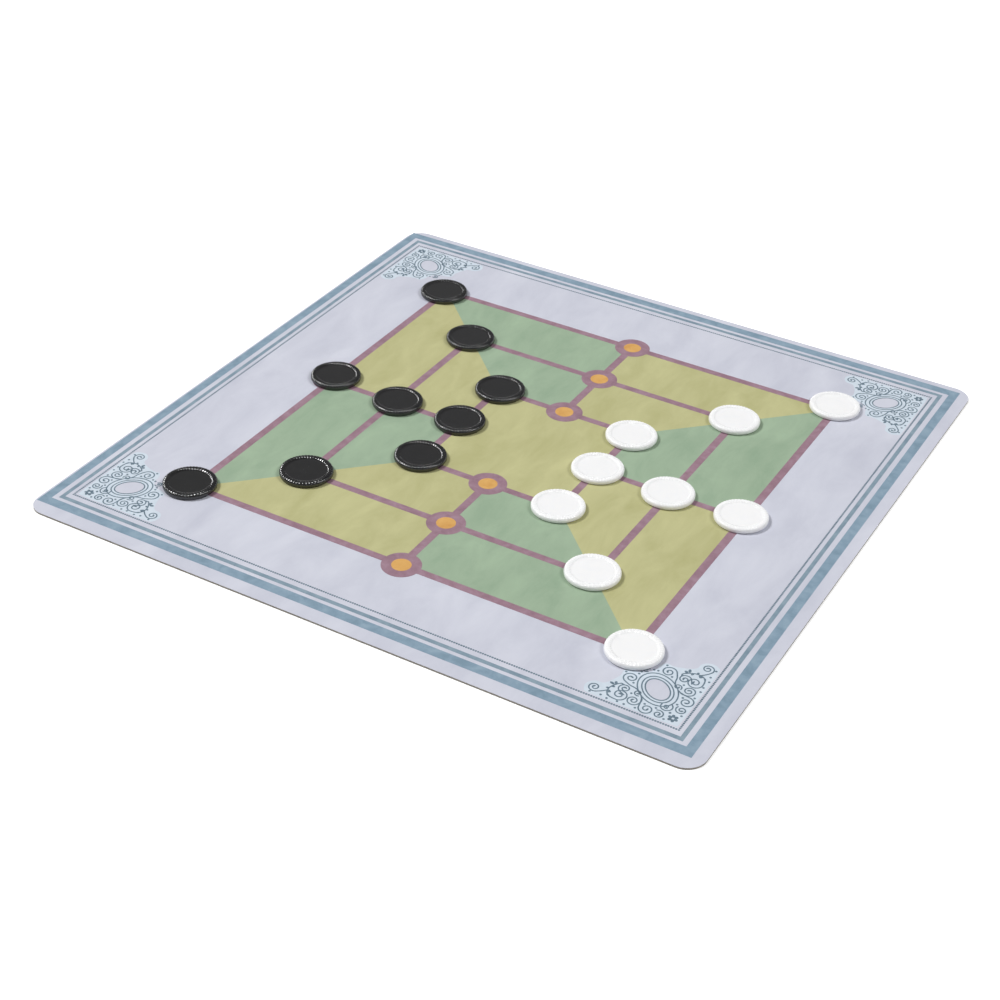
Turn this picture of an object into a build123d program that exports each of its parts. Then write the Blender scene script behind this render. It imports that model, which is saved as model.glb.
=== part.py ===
from build123d import *
from math import cos, pi
import os

# Nine men's morris set: a flat square card board and two sides of nine plastic counters.
# Millimetres. The origin is the centre of the board's underside, +Z up, +X to the right
# and +Y to the far edge as the board is read.

# Board: two sheets of paper on a greyboard core, die-cut in one stroke.
BOARD_SIDE = 263.0
BOARD_CORNER_RADIUS = 7.5
CORE_THICKNESS = 0.6
FACE_PAPER_THICKNESS = 0.1
BACKING_PAPER_THICKNESS = 0.1

# Play grid: three nested squares on one centre, one pitch apart.
POINT_PITCH = 29.8

# Counter: an injection-moulded disc with a bevelled edge, a reeded rim and a dished face.
COUNTER_DIAMETER = 20.0
COUNTER_THICKNESS = 2.2
BEVEL_WIDTH = 0.3
BEVEL_DROP = 0.8
FOOT_CHAMFER = 0.5
RIM_WIDTH = 1.6
DISH_DEPTH = 0.4
DISH_SLOPE_RUN = 0.6

# Reeding: radial V-grooves side by side all round the rim. Every ring of the counter is a
# polygon with one side to each groove, so that it is made of flat facets alone; at this
# count a side bulges less than 0.02 mm short of the true circle.
REED_COUNT = 50
REED_DEPTH = 0.2

# Where each counter stands: its square counted from the centre, the way from the centre to
# its point, and the small error with which a hand has set it down there.
COUNTER_PLACES = {
    "black_counter_1": (3, (-1, 1), (0.2, -2.9)),
    "black_counter_2": (2, (-1, 1), (0.2, -1.4)),
    "black_counter_3": (1, (-1, 1), (1.1, -0.6)),
    "black_counter_4": (3, (-1, 0), (0.7, 2.8)),
    "black_counter_5": (2, (-1, 0), (1.7, -0.2)),
    "black_counter_6": (1, (-1, 0), (-0.6, 1.0)),
    "black_counter_7": (3, (-1, -1), (-1.2, 0.3)),
    "black_counter_8": (2, (-1, -1), (0.0, -0.5)),
    "black_counter_9": (1, (-1, -1), (-0.1, 1.2)),
    "white_counter_1": (3, (1, 1), (-1.1, 0.7)),
    "white_counter_2": (2, (1, 1), (-0.6, -0.6)),
    "white_counter_3": (1, (1, 1), (0.5, -2.8)),
    "white_counter_4": (3, (1, 0), (-1.5, -0.1)),
    "white_counter_5": (2, (1, 0), (-0.4, -0.9)),
    "white_counter_6": (1, (1, 0), (0.1, -0.3)),
    "white_counter_7": (3, (1, -1), (-0.2, 0.4)),
    "white_counter_8": (2, (1, -1), (-1.4, 0.8)),
    "white_counter_9": (1, (1, -1), (-0.6, -0.1)),
}

BOARD_THICKNESS = BACKING_PAPER_THICKNESS + CORE_THICKNESS + FACE_PAPER_THICKNESS

WALL_RADIUS = COUNTER_DIAMETER / 2
RIM_OUTER_RADIUS = WALL_RADIUS - BEVEL_WIDTH
RIM_INNER_RADIUS = RIM_OUTER_RADIUS - RIM_WIDTH
DISH_RADIUS = RIM_INNER_RADIUS - DISH_SLOPE_RUN
FOOT_RADIUS = WALL_RADIUS - FOOT_CHAMFER

# From a ring's corner radius to the middle of one of its sides.
SIDE_MIDDLE = cos(pi / REED_COUNT)


def board_layer(thickness, bottom):
    """One full-size layer of the board, its underside at the given height."""
    outline = RectangleRounded(BOARD_SIDE, BOARD_SIDE, BOARD_CORNER_RADIUS)
    return Pos(0, 0, bottom) * extrude(outline, thickness)


def board_layers():
    """The bonded layers from the table up: name and solid."""
    face_bottom = BACKING_PAPER_THICKNESS + CORE_THICKNESS
    return {
        "backing_paper": board_layer(BACKING_PAPER_THICKNESS, 0),
        "greyboard_core": board_layer(CORE_THICKNESS, BACKING_PAPER_THICKNESS),
        "printed_face_paper": board_layer(FACE_PAPER_THICKNESS, face_bottom),
    }


def on_ray(radius, height, turn):
    """A point at a radius and height, on the ray turned by so many reeds from +X."""
    angle = 360 * turn / REED_COUNT
    return Vector(radius, 0, height).rotate(Axis.Z, angle)


def facet(*points):
    """A flat face through its corners."""
    return make_face(Polyline(*points, close=True))


def valley_ends():
    """Radius and height of a groove's two ends, where its bottom line leaves the rim.

    The ridges lie level at the top of the counter and the groove bottoms dip from the same
    point on its axis, so that each flank between a ridge and a groove bottom is flat.
    """
    dip = REED_DEPTH / (RIM_INNER_RADIUS + RIM_WIDTH / 2)
    dish_slope = DISH_DEPTH / (DISH_SLOPE_RUN * SIDE_MIDDLE)
    bevel_slope = BEVEL_DROP / (BEVEL_WIDTH * SIDE_MIDDLE)
    inner = dish_slope * RIM_INNER_RADIUS * SIDE_MIDDLE / (dish_slope + dip)
    outer = bevel_slope * RIM_OUTER_RADIUS * SIDE_MIDDLE / (bevel_slope - dip)
    return [(radius, COUNTER_THICKNESS - dip * radius) for radius in (inner, outer)]


def reed_sector(index):
    """The facets over one side of the counter: a groove, its flanks and all below them."""
    top = COUNTER_THICKNESS
    start, middle, end = index - 0.5, index, index + 0.5
    (inner_radius, inner_height), (outer_radius, outer_height) = valley_ends()
    valley_inner = on_ray(inner_radius, inner_height, middle)
    valley_outer = on_ray(outer_radius, outer_height, middle)

    def side(radius, height):
        return on_ray(radius, height, start), on_ray(radius, height, end)

    floor = side(DISH_RADIUS, top - DISH_DEPTH)
    rim_inner = side(RIM_INNER_RADIUS, top)
    rim_outer = side(RIM_OUTER_RADIUS, top)
    wall_top = side(WALL_RADIUS, top - BEVEL_DROP)
    wall_foot = side(WALL_RADIUS, FOOT_CHAMFER)
    foot = side(FOOT_RADIUS, 0)
    return [
        facet(floor[0], rim_inner[0], valley_inner, rim_inner[1], floor[1]),
        facet(rim_inner[0], rim_outer[0], valley_outer, valley_inner),
        facet(valley_inner, valley_outer, rim_outer[1], rim_inner[1]),
        facet(rim_outer[0], wall_top[0], wall_top[1], rim_outer[1], valley_outer),
        facet(wall_top[0], wall_foot[0], wall_foot[1], wall_top[1]),
        facet(wall_foot[0], foot[0], foot[1], wall_foot[1]),
    ]


def reeded_counter():
    """One counter standing on the origin, its rim reeded all round."""
    corners = [index - 0.5 for index in range(REED_COUNT)]
    floor = facet(*(on_ray(DISH_RADIUS, COUNTER_THICKNESS - DISH_DEPTH, t) for t in corners))
    underside = facet(*(on_ray(FOOT_RADIUS, 0, turn) for turn in corners))
    sectors = [face for index in range(REED_COUNT) for face in reed_sector(index)]
    return Solid(Shell([floor, underside, *sectors]))


def counter_location(square, way, nudge):
    """Where a counter stands on its point of the printed grid."""
    x = way[0] * square * POINT_PITCH + nudge[0]
    y = way[1] * square * POINT_PITCH + nudge[1]
    return Pos(x, y, BOARD_THICKNESS)


def write_part(name, solid):
    """Write one named piece to its own STEP file."""
    solid.label = name
    export_step(solid, f"parts/{name}.step")


def main():
    os.makedirs("parts", exist_ok=True)
    for name, layer in board_layers().items():
        write_part(name, layer)
    counter = reeded_counter()
    for name, place in COUNTER_PLACES.items():
        write_part(name, counter_location(*place) * counter)


if __name__ == "__main__":
    main()
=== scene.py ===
"""Nine men's morris board with eighteen reeded counters: the finishes and the studio.

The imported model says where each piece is. This script dresses its board layers, prints the
playing face as thin films of ink, and puts a finely moulded counter in the place of each plain
one. Sizes are in millimetres until a mesh is made.
"""

import logging
import math
from collections.abc import Callable, Sequence
from dataclasses import dataclass
from enum import Enum

import bpy
from bpy.types import Material, Node, NodeSocket, NodeTree, Object
from mathutils import Matrix, Vector

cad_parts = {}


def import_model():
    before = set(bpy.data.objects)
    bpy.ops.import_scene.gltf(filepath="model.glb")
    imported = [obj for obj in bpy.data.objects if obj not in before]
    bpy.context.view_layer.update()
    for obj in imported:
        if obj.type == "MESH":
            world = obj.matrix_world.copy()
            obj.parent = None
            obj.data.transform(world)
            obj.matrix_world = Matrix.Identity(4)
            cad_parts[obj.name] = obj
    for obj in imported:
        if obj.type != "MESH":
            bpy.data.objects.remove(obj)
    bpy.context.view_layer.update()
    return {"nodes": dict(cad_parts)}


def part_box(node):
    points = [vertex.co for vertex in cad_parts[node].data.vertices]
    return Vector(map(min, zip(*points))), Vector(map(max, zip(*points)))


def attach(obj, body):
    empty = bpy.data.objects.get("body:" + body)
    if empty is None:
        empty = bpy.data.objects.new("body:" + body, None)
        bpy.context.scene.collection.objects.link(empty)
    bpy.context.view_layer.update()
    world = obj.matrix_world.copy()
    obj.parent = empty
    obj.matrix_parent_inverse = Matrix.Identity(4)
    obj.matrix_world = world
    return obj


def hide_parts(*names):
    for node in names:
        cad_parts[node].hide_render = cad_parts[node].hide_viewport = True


MM = 0.001  # metres in a millimetre
BOARD_BODY = "board"
FACE_NODE = "printed_face_paper"
CORE_NODE = "greyboard_core"
BACK_NODE = "backing_paper"
SPAN_STEPS = 8  # short runs in each span of a smooth path
SQUARE_CORNERS = ((1, 1), (-1, 1), (-1, -1), (1, -1))  # anticlockwise
QUARTER_TURNS = ((1, 0), (0, 1), (-1, 0), (0, -1))  # cosine and sine of each

LOG = logging.getLogger("morris_board")

Point = tuple[float, float]  # a place on the board, or a pair of sizes along x and y, mm
Placing = Callable[[Sequence[Point]], list[Point]]
Colour = tuple[float, float, float, float]  # linear red, green, blue and alpha


# Colour and shader nodes


def linear(code: str) -> Colour:
    """Turn an sRGB hex colour into the linear colour that a shader takes.

    Args:
        code: Six hex digits, such as "C8CAD4".

    Returns:
        Linear red, green and blue, and an alpha of one.
    """

    def channel(pair: str) -> float:
        """Linearise one channel, given as two hex digits."""
        value = int(pair, 16) / 255.0
        return value / 12.92 if value <= 0.04045 else ((value + 0.055) / 1.055) ** 2.4

    return channel(code[0:2]), channel(code[2:4]), channel(code[4:6]), 1.0


def per_metre(size_mm: float) -> float:
    """Give the texture scale whose features are about size_mm across."""
    return 1.0 / (size_mm * MM)


def add_node(
    tree: NodeTree,
    kind: str,
    inputs: dict[str | int, object] | None = None,
    settings: dict[str, object] | None = None,
) -> Node:
    """Add one shader node, set its options and feed its sockets.

    Args:
        tree: The node tree that gets the node.
        kind: The node's type name without its leading ShaderNode, such as "TexNoise".
        inputs: What each input gets, by socket name or number: a value, or a socket to link from.
        settings: Options of the node, by attribute name.

    Returns:
        The new node.
    """
    node = tree.nodes.new("ShaderNode" + kind)
    for option, value in (settings or {}).items():
        setattr(node, option, value)
    for socket, value in (inputs or {}).items():
        if isinstance(value, NodeSocket):
            tree.links.new(value, node.inputs[socket])
        else:
            node.inputs[socket].default_value = value
    return node


def set_ramp(node: Node, stops: Sequence[tuple[float, Colour]]) -> None:
    """Give a colour ramp its stops.

    Args:
        node: The colour ramp node.
        stops: Position and colour of each stop, in rising order.
    """
    elements = node.color_ramp.elements
    while len(elements) > 1:
        elements.remove(elements[-1])
    elements[0].position, elements[0].color = stops[0]
    for position, colour in stops[1:]:
        elements.new(position).color = colour


def new_material(name: str) -> tuple[Material, NodeTree, Node]:
    """Make an empty node material.

    Args:
        name: The finish's name.

    Returns:
        The material, its node tree and its output node.
    """
    material = bpy.data.materials.new(name)
    material.use_nodes = True
    tree = material.node_tree
    tree.nodes.clear()
    return material, tree, add_node(tree, "OutputMaterial")


# Finishes


@dataclass(frozen=True)
class OffsetPrint:
    """Offset-printed uncoated-look paper under a matt film, in one printed tone.

    The halftone and the paper's formation give a soft cloudy mottle, drawn out a little along the
    press direction. The matt film keeps the sheen low and even.
    """

    name: str
    tones: tuple[str, str, str]  # where the ink lies thin, even and heavy
    cloud: float = 14.0  # size of the cloudy mottle, mm
    stretch: float = 2.4  # how much longer the clouds are along the press direction
    spread: float = 0.22  # how far the ramp's outer stops stand from its middle
    fibre: float = 0.9  # width of a paper fibre bundle, mm, coarser than real ones so that it shows
    roughness: float = 0.62

    def build(self) -> Material:
        """Make the material.

        Returns:
            The finish, ready to be put on a piece.
        """
        material, tree, output = new_material(self.name)
        place = add_node(tree, "TexCoord").outputs["Object"]
        along = add_node(
            tree, "Mapping", {"Vector": place, "Scale": (1.0, 1.0 / self.stretch, 1.0)}
        )
        clouds = add_node(
            tree,
            "TexNoise",
            {
                "Vector": along.outputs["Vector"],
                "Scale": per_metre(self.cloud),
                "Detail": 5.0,
                "Roughness": 0.62,
                "Distortion": 0.4,
            },
        )
        tone = add_node(tree, "ValToRGB", {"Fac": clouds.outputs["Fac"]})
        thin, even, heavy = (linear(code) for code in self.tones)
        set_ramp(tone, [(0.5 - self.spread, heavy), (0.5, even), (0.5 + self.spread, thin)])
        tooth = add_node(
            tree, "TexNoise", {"Vector": place, "Scale": per_metre(self.fibre), "Detail": 3.0}
        )
        relief = add_node(
            tree, "Bump", {"Strength": 0.25, "Distance": 0.02 * MM, "Height": tooth.outputs["Fac"]}
        )
        shader = add_node(
            tree,
            "BsdfPrincipled",
            {
                "Base Color": tone.outputs["Color"],
                "Roughness": self.roughness,
                "IOR": 1.49,
                "Specular IOR Level": 0.3,
                "Normal": relief.outputs["Normal"],
            },
        )
        tree.links.new(shader.outputs["BSDF"], output.inputs["Surface"])
        return material


@dataclass(frozen=True)
class Greyboard:
    """Grey recycled board, die-cut, seen on its edge: short mixed fibres laid in level plies."""

    name: str = "die_cut_greyboard"
    pale_fibre: str = "B4AFA6"
    pulp: str = "958F86"
    dark_fibre: str = "6E6961"
    fibre: float = 0.5  # length of a fibre clump along the edge, mm
    ply: float = 0.12  # height of a ply, mm

    def build(self) -> Material:
        """Make the material.

        Returns:
            The finish, ready to be put on a piece.
        """
        material, tree, output = new_material(self.name)
        place = add_node(tree, "TexCoord").outputs["Object"]
        flat = add_node(
            tree, "Mapping", {"Vector": place, "Scale": (1.0, 1.0, self.fibre / self.ply)}
        )
        plies = add_node(
            tree,
            "TexNoise",
            {
                "Vector": flat.outputs["Vector"],
                "Scale": per_metre(self.fibre),
                "Detail": 6.0,
                "Roughness": 0.7,
            },
        )
        tone = add_node(tree, "ValToRGB", {"Fac": plies.outputs["Fac"]})
        stops = {0.3: self.dark_fibre, 0.5: self.pulp, 0.72: self.pale_fibre}
        set_ramp(tone, [(position, linear(code)) for position, code in stops.items()])
        relief = add_node(
            tree, "Bump", {"Strength": 0.6, "Distance": 0.06 * MM, "Height": plies.outputs["Fac"]}
        )
        shader = add_node(
            tree,
            "BsdfPrincipled",
            {
                "Base Color": tone.outputs["Color"],
                "Roughness": 0.95,
                "Specular IOR Level": 0.2,
                "Normal": relief.outputs["Normal"],
            },
        )
        tree.links.new(shader.outputs["BSDF"], output.inputs["Surface"])
        return material


@dataclass(frozen=True)
class MouldedPolystyrene:
    """Injection-moulded high-impact polystyrene from a satin tool.

    The tool leaves a shallow orange-peel skin, the melt leaves faint flow swirls, and handling
    leaves a haze of scuffs that takes the edge off the gloss.
    """

    name: str
    body: str
    scuffed: str  # the tone where handling has hazed the skin
    roughness: float = 0.12
    scuff_roughness: float = 0.22
    sheen: float = 0.5  # how strongly the surface mirrors the lamps
    glow: float = 0.0  # share of the light that scatters inside the plastic
    depth: float = 1.1  # how far that light travels in it, mm
    peel: float = 0.5  # size of the orange peel, mm
    swirl: float = 6.0  # size of the flow swirls, mm

    def build(self) -> Material:
        """Make the material.

        Returns:
            The finish, ready to be put on a piece.
        """
        material, tree, output = new_material(self.name)
        place = add_node(tree, "TexCoord").outputs["Object"]
        swirls = add_node(
            tree,
            "TexNoise",
            {
                "Vector": place,
                "Scale": per_metre(self.swirl),
                "Detail": 6.0,
                "Roughness": 0.6,
                "Distortion": 1.6,
            },
        )
        tone = add_node(tree, "ValToRGB", {"Fac": swirls.outputs["Fac"]})
        set_ramp(tone, [(0.42, linear(self.body)), (0.72, linear(self.scuffed))])
        gloss = add_node(
            tree,
            "MapRange",
            {
                "Value": swirls.outputs["Fac"],
                "From Min": 0.35,
                "From Max": 0.7,
                "To Min": self.roughness,
                "To Max": self.scuff_roughness,
            },
        )
        skin = add_node(
            tree, "TexNoise", {"Vector": place, "Scale": per_metre(self.peel), "Detail": 2.0}
        )
        relief = add_node(
            tree, "Bump", {"Strength": 0.35, "Distance": 0.012 * MM, "Height": skin.outputs["Fac"]}
        )
        shader = add_node(
            tree,
            "BsdfPrincipled",
            {
                "Base Color": tone.outputs["Color"],
                "Roughness": gloss.outputs["Result"],
                "IOR": 1.59,
                "Specular IOR Level": self.sheen,
                "Subsurface Weight": self.glow,
                "Subsurface Radius": (1.0, 1.0, 1.0),
                "Subsurface Scale": self.depth * MM,
                "Normal": relief.outputs["Normal"],
            },
        )
        tree.links.new(shader.outputs["BSDF"], output.inputs["Surface"])
        return material


# Mesh making


def make_piece(
    name: str,
    points: Sequence[Sequence[float]],
    faces: Sequence[Sequence[int]],
    material: Material,
) -> Object:
    """Make a mesh object from points in millimetres.

    Args:
        name: The piece's name.
        points: The vertices, in millimetres in the shared frame.
        faces: Vertex numbers of each face, anticlockwise from outside.
        material: The finish of the whole piece.

    Returns:
        The new object, at the origin.
    """
    mesh = bpy.data.meshes.new(name)
    mesh.from_pydata([[value * MM for value in point] for point in points], [], faces)
    mesh.materials.append(material)
    mesh.validate()
    mesh.update()
    piece = bpy.data.objects.new(name, mesh)
    bpy.context.scene.collection.objects.link(piece)
    return piece


def polar(centre: Point, reach: float, angle: float) -> Point:
    """Find the point at a distance from a centre, in a direction given in radians."""
    return centre[0] + reach * math.cos(angle), centre[1] + reach * math.sin(angle)


def ring_faces(rings: int, around: int) -> list[list[int]]:
    """Join a stack of level rings with four-sided faces.

    Args:
        rings: How many rings there are, numbered from the first.
        around: How many points each has, anticlockwise.

    Returns:
        The vertex numbers of each face, anticlockwise as seen from outside a rising stack.
    """
    faces = []
    for ring in range(rings - 1):
        for step in range(around):
            here, there = ring * around + step, ring * around + (step + 1) % around
            faces.append([here, there, there + around, here + around])
    return faces


def smooth_path(points: Sequence[Point]) -> list[Point]:
    """Run a smooth curve, a Catmull-Rom spline, through a few points.

    Args:
        points: The points that the curve passes through.

    Returns:
        Points along the curve, both ends included.
    """
    first = (2 * points[0][0] - points[1][0], 2 * points[0][1] - points[1][1])
    last = (2 * points[-1][0] - points[-2][0], 2 * points[-1][1] - points[-2][1])
    held = [first, *points, last]
    path = []
    for before, start, end, after in zip(held, held[1:], held[2:], held[3:]):
        for step in range(SPAN_STEPS):
            t = step / SPAN_STEPS
            path.append(
                tuple(
                    0.5
                    * (
                        2 * b
                        + (c - a) * t
                        + (2 * a - 5 * b + 4 * c - d) * t * t
                        + (3 * b - a - 3 * c + d) * t * t * t
                    )
                    for a, b, c, d in zip(before, start, end, after)
                )
            )
    path.append(tuple(points[-1]))
    return path


class InkFilm:
    """One printed ink: flat closed slabs of film that make a single piece on the paper."""

    FILM = 0.014  # height of one film, mm, thicker than real ink so that layers stay apart
    ROOT = 0.01  # how far each slab reaches down into the paper, mm
    STEP = 0.0004  # how much higher each slab lies than the one before, mm
    ROUND = 31  # after so many slabs the steps start again

    def __init__(self, paper_top: float, layer: int) -> None:
        """Start an empty film.

        Args:
            paper_top: Height of the paper's face, mm.
            layer: The ink's place in the printing order, from one.
        """
        self.base = paper_top - self.ROOT
        self.top = paper_top + self.FILM * layer
        self.points: list[tuple[float, float, float]] = []
        self.faces: list[list[int]] = []
        self.slabs = 0

    def next_top(self) -> float:
        """Give the next slab's height: slabs that overlap must not share one level."""
        self.slabs += 1
        return self.top + self.STEP * (self.slabs % self.ROUND)

    def slab(self, outline: Sequence[Point]) -> None:
        """Add a slab of film.

        Args:
            outline: The slab's corners in order, either way round.
        """
        turns = zip(outline, [*outline[1:], outline[0]])
        area = sum(x1 * y2 - x2 * y1 for (x1, y1), (x2, y2) in turns)
        around = list(outline) if area > 0 else list(reversed(outline))
        count = len(around)
        first = len(self.points)
        top = self.next_top()
        self.points += [(x, y, self.base) for x, y in around]
        self.points += [(x, y, top) for x, y in around]
        self.faces.append([first + count + i for i in range(count)])
        self.faces.append([first + i for i in reversed(range(count))])
        for i in range(count):
            j = (i + 1) % count
            self.faces.append([first + i, first + j, first + count + j, first + count + i])

    def disc(self, centre: Point, radius: float, sides: int) -> None:
        """Add a round spot of film.

        Args:
            centre: The spot's middle.
            radius: Its radius, mm.
            sides: How many sides stand for the circle.
        """
        self.slab([polar(centre, radius, math.tau * i / sides) for i in range(sides)])

    def stroke(self, path: Sequence[Point], widths: Sequence[float], closed: bool = False) -> None:
        """Add a line of film along a path.

        Args:
            path: Points along the line's middle.
            widths: The line's width at each point of the path, mm.
            closed: Whether the line's end joins its start.
        """
        count = len(path)
        first = len(self.points)
        top = self.next_top()
        for i, (x, y) in enumerate(path):
            before = path[i - 1] if i or closed else path[i]
            after = path[(i + 1) % count] if i < count - 1 or closed else path[i]
            run_x, run_y = after[0] - before[0], after[1] - before[1]
            length = math.hypot(run_x, run_y) or 1.0
            side_x = -run_y / length * widths[i] / 2
            side_y = run_x / length * widths[i] / 2
            for height in (self.base, top):
                self.points.append((x + side_x, y + side_y, height))
                self.points.append((x - side_x, y - side_y, height))
        # Each path point has four vertices: base left, base right, top left, top right.
        spans = count if closed else count - 1
        for i in range(spans):
            here = first + 4 * i
            there = first + 4 * ((i + 1) % count)
            self.faces.append([here + 3, there + 3, there + 2, here + 2])
            self.faces.append([here, there, there + 1, here + 1])
            self.faces.append([here + 2, there + 2, there, here])
            self.faces.append([here + 1, there + 1, there + 3, here + 3])
        if not closed:
            end = first + 4 * (count - 1)
            self.faces.append([first, first + 1, first + 3, first + 2])
            self.faces.append([end + 2, end + 3, end + 1, end])

    def frame(self, centre: Point, outer: Point, inner: Point) -> None:
        """Add a rectangular frame with mitred corners.

        Args:
            centre: The middle of the frame.
            outer: Half the frame's outside width and height, mm.
            inner: Half the frame's inside width and height, mm.
        """
        turns = zip(SQUARE_CORNERS, (*SQUARE_CORNERS[1:], SQUARE_CORNERS[0]))
        for (ax, ay), (bx, by) in turns:
            ends = ((ax, ay, outer), (bx, by, outer), (bx, by, inner), (ax, ay, inner))
            self.slab([(centre[0] + x * half[0], centre[1] + y * half[1]) for x, y, half in ends])

    def piece(self, name: str, material: Material, slot: str = "printed_paper") -> None:
        """Make the film's piece, riding on the board.

        Args:
            name: The piece's name.
            material: The ink's finish.
            slot: The record's material slot that the ink belongs to; not used.
        """
        piece = make_piece(name, self.points, self.faces, material)
        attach(piece, BOARD_BODY)
        LOG.info("printed %s: %d faces", name, len(self.faces))


# The board


@dataclass
class BoardLayers:
    """The pasted-up board: printed face paper, greyboard core and lining paper."""

    nodes: dict[str, Object]

    def dress(self) -> None:
        """Give each of the three layers its finish."""
        ground = OffsetPrint(
            "matt_laminated_paper_lilac_grey", ("D0D2DD", "C8CAD6", "BFC1CE"), cloud=16.0
        )
        lining = OffsetPrint(
            "uncoated_lining_paper",
            ("E2E0DC", "DAD8D4", "CECBC6"),
            cloud=9.0,
            stretch=1.0,
            roughness=0.9,
        )
        finishes = {
            FACE_NODE: ground.build(),
            CORE_NODE: Greyboard().build(),
            BACK_NODE: lining.build(),
        }
        for node, material in finishes.items():
            mesh = self.nodes[node].data
            mesh.materials.clear()
            mesh.materials.append(material)
            LOG.info("dressed %s with %s", node, material.name)


class Corner(Enum):
    """A corner of the board, as the sides of x and y that it stands on."""

    FRONT_LEFT = (-1, -1)
    FRONT_RIGHT = (1, -1)
    BACK_LEFT = (-1, 1)
    BACK_RIGHT = (1, 1)


@dataclass
class BorderPrint:
    """The printed border: a broad band, a narrow line and a line of beads, all square-cornered."""

    paper_top: float
    centre: Point = (-1.93, 1.5)  # the border is printed a little off the board's middle
    band_outer: Point = (128.85, 127.2)  # from the centre to the band's outside
    band_width: Point = (3.5, 3.9)
    line_outer: Point = (123.4, 121.8)
    line_width: Point = (1.55, 1.7)
    beads: Point = (120.1, 117.6)  # from the centre to the middle of the beads
    bead_pitch: float = 0.9
    bead_radius: float = 0.41

    def bead_corner(self, corner: Corner) -> Point:
        """Give the place where the beaded line turns at a corner of the board."""
        side_x, side_y = corner.value
        return self.centre[0] + side_x * self.beads[0], self.centre[1] + side_y * self.beads[1]

    def print_lines(self) -> None:
        """Print the band in slate blue and the narrow line in a greyer slate."""
        mottle = {"cloud": 5.0, "stretch": 1.0, "spread": 0.16}
        blue = OffsetPrint("offset_ink_slate_blue", ("8DA3B3", "839AAC", "7890A1"), **mottle)
        grey = OffsetPrint("offset_ink_grey_slate", ("8C9FAC", "8296A4", "778B9A"), **mottle)
        sizes = {
            "printed_border_band": (self.band_outer, self.band_width, blue.build()),
            "printed_border_line": (self.line_outer, self.line_width, grey.build()),
        }
        for name, (outer, width, ink) in sizes.items():
            film = InkFilm(self.paper_top, layer=1)
            film.frame(self.centre, outer, (outer[0] - width[0], outer[1] - width[1]))
            film.piece(name, ink)

    def print_beads(self, ink: Material) -> None:
        """Print the line of beads.

        Args:
            ink: The finish of the beads.
        """
        film = InkFilm(self.paper_top, layer=1)
        half_x, half_y = self.beads
        for half, other, upright in ((half_x, half_y, False), (half_y, half_x, True)):
            count = round(2 * half / self.bead_pitch)
            for number in range(count):
                along = -half + 2 * half * number / count
                for side in (-1, 1):
                    # Each side starts at one corner and stops a bead short of the next.
                    x, y = side * along, side * other
                    if upright:
                        x, y = y, -x
                    film.disc((self.centre[0] + x, self.centre[1] + y), self.bead_radius, sides=8)
        film.piece("printed_border_beads", ink)


@dataclass(frozen=True)
class Scroll:
    """A spiral of fine line with a stalk, placed inwards from the corner of the beaded line."""

    centre: Point
    radius: float  # where the spiral starts, mm
    start: float  # direction of the start from the centre, degrees
    turn: int  # 1 where the spiral winds in anticlockwise, -1 clockwise
    turns: float = 1.6
    eye: float = 0.25  # radius at the spiral's inner end, mm
    stalk: tuple[Point, ...] = ()
    turn_steps: int = 26  # short runs in each turn of the spiral
    least_steps: int = 12

    def path(self) -> list[Point]:
        """Lay out the middle of the line.

        Returns:
            Points from the stalk's foot to the spiral's eye.
        """
        steps = max(self.least_steps, round(self.turn_steps * self.turns))
        spiral = []
        for step in range(steps + 1):
            share = step / steps
            reach = self.radius + (self.eye - self.radius) * share
            angle = math.radians(self.start) + self.turn * math.tau * self.turns * share
            spiral.append(polar(self.centre, reach, angle))
        if not self.stalk:
            return spiral
        # The last span only leads the stalk's curve in the spiral's direction and is left out.
        lead = smooth_path([*self.stalk, spiral[0], spiral[2]])
        return lead[: -SPAN_STEPS - 1] + spiral


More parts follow.
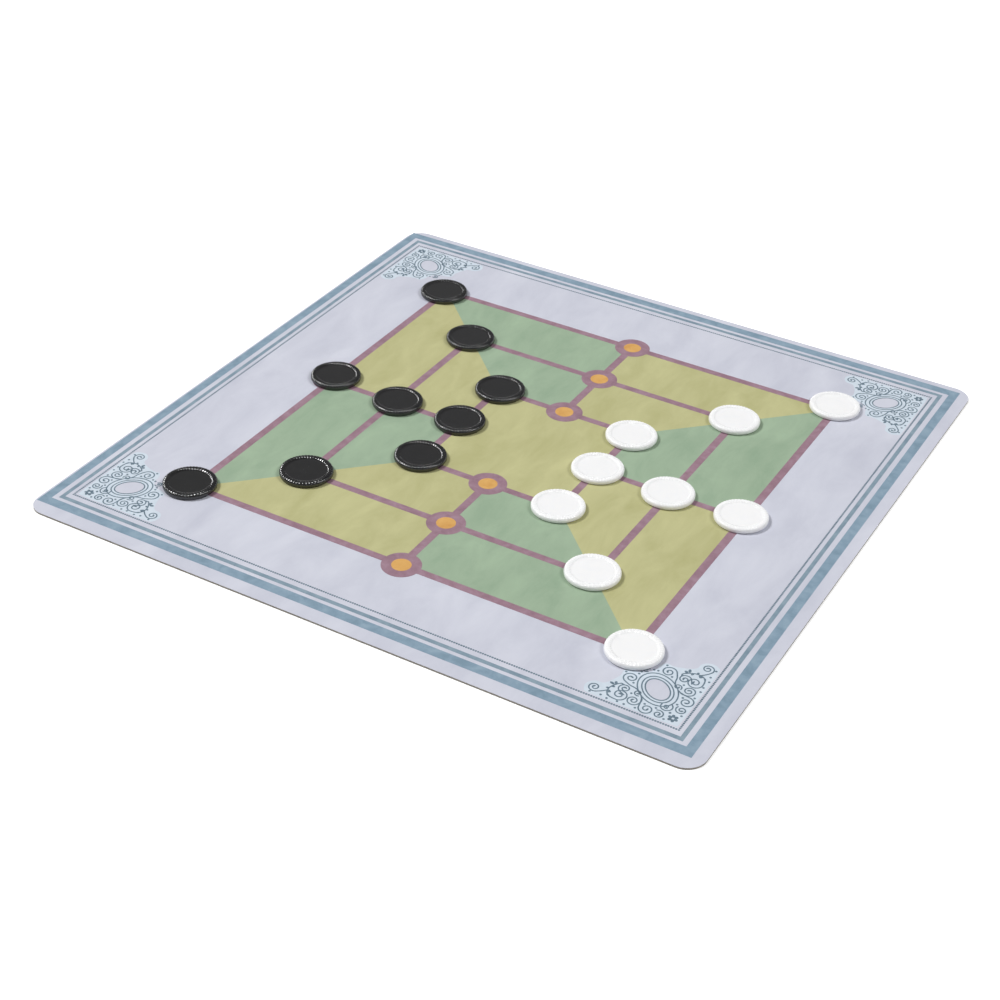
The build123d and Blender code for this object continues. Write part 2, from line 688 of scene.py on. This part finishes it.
@dataclass
class CornerOrnament:
    """A scrolled corner ornament round an oval cartouche, alike on both sides of its diagonal.

    Its places are distances inwards, along x and along y, from the corner of the beaded line.
    """

    paper_top: float
    line: float = 0.46  # width of the fine line, mm
    eye_swell: float = 0.55  # how much wider the line is at a spiral's eye, mm
    swell_steps: int = 9  # the last steps of a spiral, over which it widens
    cartouche: float = 14.05  # distance of the cartouche's centre, along both sides
    ovals: tuple[Point, ...] = ((8.3, 6.3), (6.6, 4.9), (5.4, 3.8))
    oval_steps: int = 72
    scrolls: tuple[Scroll, ...] = (
        Scroll((14.8, 23.9), 2.6, 146, -1, stalk=((9.9, 18.2), (10.9, 20.5), (11.3, 22.6))),
        Scroll((8.9, 23.2), 2.2, 160, -1, stalk=((5.9, 22.0),)),
        Scroll((5.4, 23.3), 2.8, 190, 1, 1.6, stalk=((5.4, 27.6), (4.0, 27.1), (2.9, 25.6))),
        Scroll((9.2, 18.5), 1.5, 210, -1, 1.2),
        Scroll((5.1, 18.4), 2.2, 220, -1, stalk=((8.2, 17.1), (6.7, 16.1), (4.8, 16.1))),
        Scroll((3.6, 13.1), 2.6, 90, 1, stalk=((7.3, 16.5), (5.6, 16.0))),
        Scroll((3.3, 8.8), 2.0, 40, -1),
        Scroll((4.6, 31.8), 2.2, 220, -1, 1.6, stalk=((5.2, 27.7), (4.0, 28.9))),
    )
    trunk: tuple[Point, ...] = ((10.8, 25.0), (10.2, 25.8), (8.6, 26.9), (6.8, 27.6), (4.8, 27.6))
    # Each leaf: its foot, the direction that it points in degrees, its length and its width.
    leaves: tuple[tuple[Point, float, float, float], ...] = (
        ((9.3, 26.6), 20, 1.5, 1.0),
        ((9.0, 27.0), 75, 1.8, 1.0),
        ((7.6, 27.4), -70, 1.3, 0.8),
        ((6.6, 27.6), 110, 1.1, 0.8),
        ((5.4, 27.7), -95, 1.2, 0.8),
        ((4.3, 27.4), -50, 1.5, 0.8),
        ((3.6, 27.0), -120, 1.3, 0.7),
        ((10.6, 25.2), -100, 1.2, 0.7),
    )
    dots: tuple[Point, ...] = (
        (16.7, 26.6), (18.0, 22.6), (12.9, 22.1), (7.9, 20.4), (2.0, 22.5),
        (1.9, 20.1), (2.2, 16.3), (5.5, 14.5), (5.6, 10.6), (2.1, 6.3),
        (1.9, 32.2), (2.2, 28.4), (1.6, 26.0), (5.9, 5.8), (19.3, 22.3),
    )
    dot_radius: float = 0.42
    flower: float = 3.9  # distance of the flower's centre, along both sides
    petals: int = 6
    petal_size: Point = (1.5, 1.15)  # length and width of a petal, mm
    petal_foot: float = 0.38  # distance of a petal's foot from the flower's centre, mm
    petal_tilt: float = 15.0  # direction of the first petal, degrees
    leaf_steps: int = 8
    # The tinted ground's outline on one side of the diagonal, from the corner and back to it.
    ground: tuple[Point, ...] = (
        (1.2, 1.2), (0.9, 6.0), (0.9, 20.0), (0.9, 32.0), (2.2, 34.4), (5.0, 34.9), (7.3, 33.2),
        (7.9, 30.3), (10.4, 28.6), (14.4, 27.3), (17.2, 27.4), (18.6, 25.0), (18.9, 22.6),
        (20.3, 20.3),
    )
    crest: float = 21.4  # distance of the curl at the cartouche's inner end
    knop: float = 8.0  # distance of the knop at the cartouche's outer end

    def leaf(self, foot: Point, direction: float, length: float, width: float) -> list[Point]:
        """Give the outline of a rounded leaf.

        Args:
            foot: Where the leaf starts.
            direction: Where it points, degrees.
            length: Its length, mm.
            width: Its greatest width, mm.

        Returns:
            The outline's points.
        """
        along = polar((0.0, 0.0), 1.0, math.radians(direction))
        shares = [step / self.leaf_steps for step in range(self.leaf_steps + 1)]
        sides = []
        for side, run in ((1, shares), (-1, shares[-2:0:-1])):
            for share in run:
                reach = length * share
                swell = side * width * math.sqrt(share * (1 - share))
                sides.append(
                    (
                        foot[0] + along[0] * reach - along[1] * swell,
                        foot[1] + along[1] * reach + along[0] * swell,
                    )
                )
        return sides

    def oval(self, long_half: float, short_half: float) -> list[Point]:
        """Lay out an oval of the cartouche, its long axis on the diagonal.

        Args:
            long_half: Half its length, mm.
            short_half: Half its width, mm.

        Returns:
            The outline's points, the first one being the farthest from the corner.
        """
        slant = math.sqrt(0.5)
        points = []
        for step in range(self.oval_steps):
            angle = math.tau * step / self.oval_steps
            along = long_half * math.cos(angle) * slant
            across = short_half * math.sin(angle) * slant
            points.append((self.cartouche + along - across, self.cartouche + along + across))
        return points

    def even_stroke(self, film: InkFilm, path: Sequence[Point], closed: bool = False) -> None:
        """Add a line of the ornament's own width to the film."""
        film.stroke(path, [self.line] * len(path), closed)

    def draw_half(self, film: InkFilm, place: Placing) -> None:
        """Draw what stands on one side of the diagonal.

        Args:
            film: The film that the half is drawn on.
            place: Takes points of the ornament to their places on the board.
        """
        for scroll in self.scrolls:
            path = place(scroll.path())
            # The line swells over its last steps into the spiral's dark eye.
            left = range(len(path) - 1, -1, -1)
            swells = [max(0.0, 1 - steps / self.swell_steps) for steps in left]
            film.stroke(path, [self.line + self.eye_swell * swell for swell in swells])
        self.even_stroke(film, place(smooth_path(self.trunk)))
        for leaf in self.leaves:
            film.slab(place(self.leaf(*leaf)))
        for dot in place(self.dots):
            film.disc(dot, self.dot_radius, sides=12)

    def draw_middle(self, film: InkFilm, place: Placing) -> None:
        """Draw what stands on the diagonal: the cartouche, its knop and the flower.

        Args:
            film: The film that the middle is drawn on.
            place: Takes points of the ornament to their places on the board.
        """
        for halves in self.ovals:
            self.even_stroke(film, place(self.oval(*halves)), closed=True)
        for curl in (
            Scroll((self.knop, self.knop), 1.95, 122, 1, 0.72, eye=1.95),
            Scroll((self.knop, self.knop), 1.0, 225, 1, 1.3, eye=0.2),
            Scroll((self.crest, self.crest), 1.35, 225, 1, 0.8, eye=0.9),
            Scroll((self.crest, self.crest), 0.5, 225, 1, 1.0, eye=0.2),
        ):
            self.even_stroke(film, place(curl.path()))
        for petal in range(self.petals):
            direction = 360.0 * petal / self.petals + self.petal_tilt
            foot = polar((self.flower, self.flower), self.petal_foot, math.radians(direction))
            film.slab(place(self.leaf(foot, direction, *self.petal_size)))

    def print_at(self, corner: Corner, origin: Point, ink: Material, tint: Material) -> None:
        """Print the ornament in one corner of the board.

        Args:
            corner: Which corner.
            origin: The corner of the beaded line there.
            ink: The finish of the ornament's lines.
            tint: The finish of the pale ground inside its scrolls.
        """
        side_x, side_y = corner.value

        def place(points: Sequence[Point]) -> list[Point]:
            """Measure points inwards from the corner."""
            return [(origin[0] - side_x * x, origin[1] - side_y * y) for x, y in points]

        def mirrored(points: Sequence[Point]) -> list[Point]:
            """Measure the points' twins across the diagonal."""
            return place([(y, x) for x, y in points])

        ground = InkFilm(self.paper_top, layer=1)
        # One half of the ground, cut back along the diagonal to leave the cartouche bare.
        half = smooth_path(self.ground) + self.oval(*self.ovals[-1])[: self.oval_steps // 2 + 1]
        ground.slab(place(half))
        ground.slab(mirrored(half))
        ground.piece(f"printed_tint_{corner.name.lower()}", tint)
        film = InkFilm(self.paper_top, layer=2)
        self.draw_middle(film, place)
        self.draw_half(film, place)
        self.draw_half(film, mirrored)
        film.piece(f"printed_ornament_{corner.name.lower()}", ink)


@dataclass
class MillPrint:
    """The printed playing field: coloured wedges, three squares, their spokes and the points."""

    paper_top: float
    centre: Point = (-0.12, -0.09)
    pitch: float = 29.71  # from each square to the next, mm
    line_width: float = 3.0
    ring_radius: float = 7.15
    spot_radius: float = 3.55
    squares: tuple[int, ...] = (1, 2, 3)

    def at(self, x: float, y: float) -> Point:
        """Give the place of a point that is x and y pitches from the middle."""
        return self.centre[0] + x * self.pitch, self.centre[1] + y * self.pitch

    def print_wedges(self) -> None:
        """Print the eight wedges, green and straw by turns, and the straw middle square."""
        straw = OffsetPrint("offset_ink_straw", ("C1BF8E", "B8B686", "AFAD7B"), cloud=11.0)
        green = OffsetPrint("offset_ink_sage_green", ("A0B69B", "98AD94", "8DA48B"), cloud=11.0)
        films = {"straw": InkFilm(self.paper_top, layer=1), "green": InkFilm(self.paper_top, layer=1)}
        outer, inner = max(self.squares), min(self.squares)
        films["straw"].slab([self.at(x * inner, y * inner) for x, y in SQUARE_CORNERS])
        for turn_x, turn_y in QUARTER_TURNS:
            for name, hand in (("green", -1), ("straw", 1)):
                # The wedge on the back side, to the left for green and the right for straw.
                wedge = [(hand * outer, outer), (0, outer), (0, inner), (hand * inner, inner)]
                films[name].slab(
                    [self.at(x * turn_x + y * turn_y, y * turn_x - x * turn_y) for x, y in wedge]
                )
        films["straw"].piece("printed_wedges_straw", straw.build())
        films["green"].piece("printed_wedges_green", green.build())

    def print_lines(self, ink: Material) -> None:
        """Print the three squares and the four spokes that join them.

        Args:
            ink: The finish of the lines.
        """
        film = InkFilm(self.paper_top, layer=2)
        half = self.line_width / 2
        for square in self.squares:
            reach = square * self.pitch
            film.frame(self.centre, (reach + half, reach + half), (reach - half, reach - half))
        for turn_x, turn_y in QUARTER_TURNS:
            for square in self.squares[:-1]:
                near = square * self.pitch + half
                far = (square + 1) * self.pitch - half
                film.slab(
                    [
                        (
                            self.centre[0] + run * turn_x - side * turn_y,
                            self.centre[1] + run * turn_y + side * turn_x,
                        )
                        for run, side in ((near, -half), (far, -half), (far, half), (near, half))
                    ]
                )
        film.piece("printed_mill_lines", ink)

    def print_points(self, ink: Material) -> None:
        """Print the ring and the spot of each of the 24 points.

        Args:
            ink: The finish of the rings.
        """
        amber = OffsetPrint(
            "offset_ink_amber", ("DCAD68", "D4A35D", "CA9552"), cloud=5.0, stretch=1.0
        )
        rings, spots = InkFilm(self.paper_top, layer=3), InkFilm(self.paper_top, layer=4)
        ways = [(x, y) for x in (-1, 0, 1) for y in (-1, 0, 1) if (x, y) != (0, 0)]
        for square in self.squares:
            for x, y in ways:
                rings.disc(self.at(x * square, y * square), self.ring_radius, sides=72)
                spots.disc(self.at(x * square, y * square), self.spot_radius, sides=48)
        rings.piece("printed_point_rings", ink)
        spots.piece("printed_point_spots", amber.build())

    def print_all(self) -> None:
        """Print the whole field."""
        mauve = OffsetPrint(
            "offset_ink_dusty_mauve", ("A28694", "977885", "8A6C79"), cloud=4.0, stretch=1.0
        ).build()
        self.print_wedges()
        self.print_lines(mauve)
        self.print_points(mauve)


@dataclass
class PlayingFace:
    """All that is printed on the face paper."""

    paper_top: float

    def print_all(self) -> None:
        """Print the border, the corner ornaments and the playing field."""
        slate = OffsetPrint(
            "offset_ink_dark_slate", ("738693", "667987", "5A6C79"), cloud=3.0, stretch=1.0
        ).build()
        tint = OffsetPrint(
            "offset_tint_pale_blue", ("D0DBE5", "CBD6E1", "C5D1DC"), cloud=3.0, stretch=1.0
        ).build()
        border = BorderPrint(self.paper_top)
        border.print_lines()
        border.print_beads(slate)
        ornament = CornerOrnament(self.paper_top)
        for corner in Corner:
            ornament.print_at(corner, border.bead_corner(corner), slate, tint)
        MillPrint(self.paper_top).print_all()


# The counters


class Side(Enum):
    """A player's side: the counters' name and the record's material slot."""

    BLACK = ("black", "black_plastic")
    WHITE = ("white", "white_plastic")


@dataclass
class Counter:
    """One moulded counter: a dished disc with a reeded rim, a bevelled edge and a flat foot."""

    node: str
    body: str
    radius: float = 10.0
    height: float = 2.2
    foot_radius: float = 9.5
    foot_rise: float = 0.5
    bevel_width: float = 0.3
    bevel_drop: float = 0.8
    rim_width: float = 1.6
    dish_run: float = 0.6
    dish_depth: float = 0.4
    reeds: int = 50
    reed_steps: int = 12
    groove_share: float = 0.65  # the part of a reed's width that its groove takes up
    inner_cut: float = 0.17  # depth of the grooves at the rim's inner edge, mm
    shoulder_cut: float = 0.2  # the same where the rim's outer shoulder begins
    middle_cut: float = 0.05  # the same in the middle of the rim and at its outer edge
    cut_run: float = 0.45  # run over which a groove passes from deep to shallow, mm
    shoulder_drop: float = 0.27  # how far the rim falls away over its outer shoulder, mm
    edge_round: float = 0.18  # how far the rounding of a moulded edge reaches, mm
    slope_round: float = 0.32  # the same where the dish's slope begins and ends, mm
    round_limit: float = 2.2  # a rounding takes at most one part in so many of a side
    blunt: float = 150.0  # corners blunter than this need only few steps, degrees
    flat: float = 1.0  # how far the section runs in under the foot and over the dish, mm
    crease: float = 20.0  # facets that meet at a steeper angle stay sharp, degrees

    def corners(self) -> list[tuple[float, float, float, float]]:
        """Lay out the corners of the half section.

        Returns:
            Radius, height, depth of the grooves and rounding of each, from the foot up.
        """
        rim_outer = self.radius - self.bevel_width
        rim_inner = rim_outer - self.rim_width
        return [
            (self.foot_radius, 0.0, 0.0, self.edge_round),
            (self.radius, self.foot_rise, 0.0, self.edge_round),
            (self.radius, self.height - self.bevel_drop, 0.0, self.edge_round),
            (rim_outer, self.height - self.shoulder_drop, self.middle_cut, self.edge_round),
            (rim_outer - self.cut_run, self.height, self.shoulder_cut, self.edge_round),
            (rim_outer - 2 * self.cut_run, self.height, self.middle_cut, self.edge_round),
            (rim_inner + self.cut_run, self.height, self.middle_cut, self.edge_round),
            (rim_inner, self.height, self.inner_cut, self.slope_round),
            (rim_inner - self.dish_run, self.height - self.dish_depth, 0.0, self.slope_round),
        ]

    def section(self) -> list[tuple[float, float, float]]:
        """Round the corners of the half section.

        Returns:
            Radius, height and depth of the grooves, from the foot up and in to the dish.
        """
        corners = self.corners()
        inner_foot = (self.foot_radius - self.flat, 0.0, 0.0, 0.0)
        inner_dish = (corners[-1][0] - self.flat, corners[-1][1], 0.0, 0.0)
        chain = [inner_foot, *corners, inner_dish]
        rounded = [inner_foot[:3]]
        for before, corner, after in zip(chain, chain[1:], chain[2:]):
            tip = Vector(corner[:3])
            into, out = Vector(before[:3]) - tip, Vector(after[:3]) - tip
            shorter = min(into.length, out.length)
            reach = min(corner[3], shorter / self.round_limit)
            start = tip + into.normalized() * reach
            end = tip + out.normalized() * reach
            steps = 4 if into.angle(out) < math.radians(self.blunt) else 2
            for step in range(steps + 1):
                t = step / steps
                rounded.append(tuple(start * (1 - t) ** 2 + tip * 2 * t * (1 - t) + end * t * t))
        rounded.append(inner_dish[:3])
        return rounded

    def build(self, material: Material, slot: str) -> None:
        """Make the counter in the place of its plain node, riding on its own body.

        Args:
            material: The counter's finish.
            slot: The record's material slot for it; not used.
        """
        low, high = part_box(self.node)
        middle = ((low.x + high.x) / 2 / MM, (low.y + high.y) / 2 / MM)
        foot = low.z / MM
        section = self.section()
        around = self.reeds * self.reed_steps
        points = []
        for radius, height, cut in section:
            for step in range(around):
                angle = math.tau * step / around
                # A groove is a rounded hollow at each whole reed, with level rim between two:
                # away is 0 in the middle of a groove and 1 in the middle of a ridge.
                away = 1 - abs((step % self.reed_steps) / self.reed_steps * 2 - 1)
                valley = 0.5 + 0.5 * math.cos(math.pi * min(1.0, away / self.groove_share))
                points.append((*polar(middle, radius, angle), foot + height - cut * valley))
        faces = ring_faces(len(section), around)
        faces.append(list(reversed(range(around))))
        faces.append(list(range(len(points) - around, len(points))))
        piece = make_piece(f"moulded_{self.node}", points, faces, material)
        piece.data.shade_smooth()
        piece.data.set_sharp_from_angle(angle=math.radians(self.crease))
        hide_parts(self.node)
        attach(piece, self.body)
        LOG.info("moulded %s: %d faces", piece.name, len(faces))


@dataclass
class CounterSet:
    """Both players' counters, nine a side."""

    per_side: int = 9

    def build(self) -> None:
        """Make every counter."""
        finishes = {
            Side.BLACK: MouldedPolystyrene(
                "moulded_polystyrene_black", body="0A0A0C", scuffed="131315", sheen=0.75
            ),
            Side.WHITE: MouldedPolystyrene(
                "moulded_polystyrene_white", body="FDFDFF", scuffed="FAFBFF", glow=0.8
            ),
        }
        for side, finish in finishes.items():
            name, slot = side.value
            material = finish.build()
            for number in range(1, self.per_side + 1):
                Counter(f"{name}_counter_{number}", f"{name}_{number}").build(material, slot)


# The studio


@dataclass(frozen=True)
class Lamp:
    """A square soft lamp that faces the board's middle."""

    name: str
    azimuth: float  # where it hangs, degrees round from the front
    elevation: float  # how high it hangs, degrees
    side: float  # length of its side, m
    watts: float
    reach: float = 5.0  # its distance from the board's middle, m


@dataclass
class Studio:
    """A white sweep, a small key lamp on the left, a weaker one on the right, and the room."""

    target: tuple[float, float, float]  # what the camera looks at, mm
    azimuth: float = 28.443  # where the camera stands, degrees round from the front
    elevation: float = 34.359  # how high it stands, degrees
    roll: float = 2.355  # how far it leans to one side, degrees
    distance: float = 690.5  # from the target, mm
    lens: float = 68.627  # focal length, mm
    sensor: float = 36.0  # width of the camera's sensor, mm
    # How bright the room is seen at these heights: the height's sine, and the strength.
    room: tuple[tuple[float, float], ...] = ((0.1, 0.16), (0.45, 0.28), (0.65, 0.26), (0.95, 0.16))
    lamps: tuple[Lamp, ...] = (
        Lamp("key_left", -78.0, 52.0, side=1.1, watts=180.0),
        Lamp("fill_right", 108.0, 50.0, side=1.5, watts=96.0),
    )
    level_rings: tuple[float, ...] = (0.5, 1.0, 1.6)  # radii of the sweep's level part, m
    sweep_radius: float = 3.0  # m
    sweep_height: float = 0.25  # m
    sweep_steps: int = 12  # rings in the part that curves up
    sweep_sides: int = 64
    sweep_glow: float = 0.42  # what the sweep's paint gives off by itself

    def toward(self, azimuth: float, elevation: float) -> Vector:
        """Work out a direction from the board's middle.

        Args:
            azimuth: Degrees round from the front, to the right.
            elevation: Degrees up.

        Returns:
            The unit vector.
        """
        turn, rise = math.radians(azimuth), math.radians(elevation)
        level = math.cos(rise)
        return Vector((math.sin(turn) * level, -math.cos(turn) * level, math.sin(rise)))

    def place_camera(self) -> None:
        """Put the camera where it stands and make it the scene's own."""
        back = self.toward(self.azimuth, self.elevation)
        level = Vector((0, 0, 1)).cross(back).normalized()
        up = back.cross(level)
        tilt = math.radians(self.roll)
        right = level * math.cos(tilt) + up * math.sin(tilt)
        top = up * math.cos(tilt) - level * math.sin(tilt)
        data = bpy.data.cameras.new("studio_camera")
        data.sensor_width = self.sensor
        data.lens = self.lens
        data.clip_start = 0.01
        camera = bpy.data.objects.new("studio_camera", data)
        matrix = Matrix((right, top, back)).transposed().to_4x4()
        matrix.translation = Vector(self.target) * MM + back * self.distance * MM
        camera.matrix_world = matrix
        bpy.context.scene.collection.objects.link(camera)
        bpy.context.scene.camera = camera

    def hang_lamps(self) -> None:
        """Hang the lamps, each facing the board's middle."""
        for lamp in self.lamps:
            data = bpy.data.lights.new(lamp.name, "AREA")
            data.shape = "SQUARE"
            data.size = lamp.side
            data.energy = lamp.watts
            hung = bpy.data.objects.new(lamp.name, data)
            direction = self.toward(lamp.azimuth, lamp.elevation)
            hung.location = direction * lamp.reach
            hung.rotation_euler = direction.to_track_quat("Z", "Y").to_euler()
            bpy.context.scene.collection.objects.link(hung)

    def light_room(self) -> None:
        """Light the room from the world, brightest half way up."""
        world = bpy.data.worlds.new("white_room")
        world.use_nodes = True
        tree = world.node_tree
        way = add_node(tree, "TexCoord").outputs["Generated"]
        rise = add_node(tree, "SeparateXYZ", {"Vector": way}).outputs["Z"]
        glow = add_node(tree, "ValToRGB", {"Fac": rise})
        set_ramp(glow, [(height, (level, level, level, 1.0)) for height, level in self.room])
        tree.links.new(glow.outputs["Color"], tree.nodes["Background"].inputs["Color"])
        bpy.context.scene.world = world

    def paint_sweep(self) -> Material:
        """Make the sweep's matt white paint.

        Returns:
            A paint that the eye sees as pure white, while it still takes shadows.
        """
        material, tree, output = new_material("matt_white_sweep")
        path = add_node(tree, "LightPath")
        seen = path.outputs["Is Camera Ray"]
        for kind in ("Is Glossy Ray", "Is Transmission Ray"):
            ways = {0: seen, 1: path.outputs[kind]}
            either = add_node(tree, "Math", ways, {"operation": "MAXIMUM"})
            seen = either.outputs["Value"]
        paint = add_node(tree, "BsdfDiffuse", {"Color": linear("F4F4F4"), "Roughness": 1.0})
        lift = add_node(tree, "Emission", {"Color": linear("FFFFFF"), "Strength": self.sweep_glow})
        lifted = add_node(
            tree, "AddShader", {0: paint.outputs["BSDF"], 1: lift.outputs["Emission"]}
        )
        mixed = add_node(
            tree, "MixShader", {0: seen, 1: paint.outputs["BSDF"], 2: lifted.outputs["Shader"]}
        )
        tree.links.new(mixed.outputs["Shader"], output.inputs["Surface"])
        return material

    def lay_sweep(self) -> None:
        """Lay the floor, which curves up all round into a low backdrop."""
        rings = [(radius, 0.0) for radius in self.level_rings]
        foot = self.level_rings[-1]
        for step in range(1, self.sweep_steps + 1):
            angle = math.pi / 2 * step / self.sweep_steps
            radius = foot + (self.sweep_radius - foot) * math.sin(angle)
            rings.append((radius, self.sweep_height * (1 - math.cos(angle))))
        points = [
            (*polar((0.0, 0.0), radius / MM, math.tau * step / self.sweep_sides), height / MM)
            for radius, height in rings
            for step in range(self.sweep_sides)
        ]
        # The sweep is seen from within its rings, so their faces are turned over.
        walls = [face[::-1] for face in ring_faces(len(rings), self.sweep_sides)]
        faces = [list(range(self.sweep_sides)), *walls]
        sweep = make_piece("studio_sweep", points, faces, self.paint_sweep())
        sweep.data.shade_smooth()

    def build(self) -> None:
        """Set up the camera, the lamps, the room and the sweep."""
        self.place_camera()
        self.light_room()
        self.hang_lamps()
        self.lay_sweep()
        bpy.context.scene.view_settings.view_transform = "Standard"
        LOG.info("studio ready")


def main() -> None:
    """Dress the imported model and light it."""
    logging.basicConfig(level=logging.INFO, format="%(name)s: %(message)s")
    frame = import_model()
    BoardLayers(frame["nodes"]).dress()
    paper_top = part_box(FACE_NODE)[1].z / MM
    PlayingFace(paper_top).print_all()
    CounterSet().build()
    Studio(target=(8.882, -36.591, paper_top)).build()


if __name__ == "__main__":
    main()
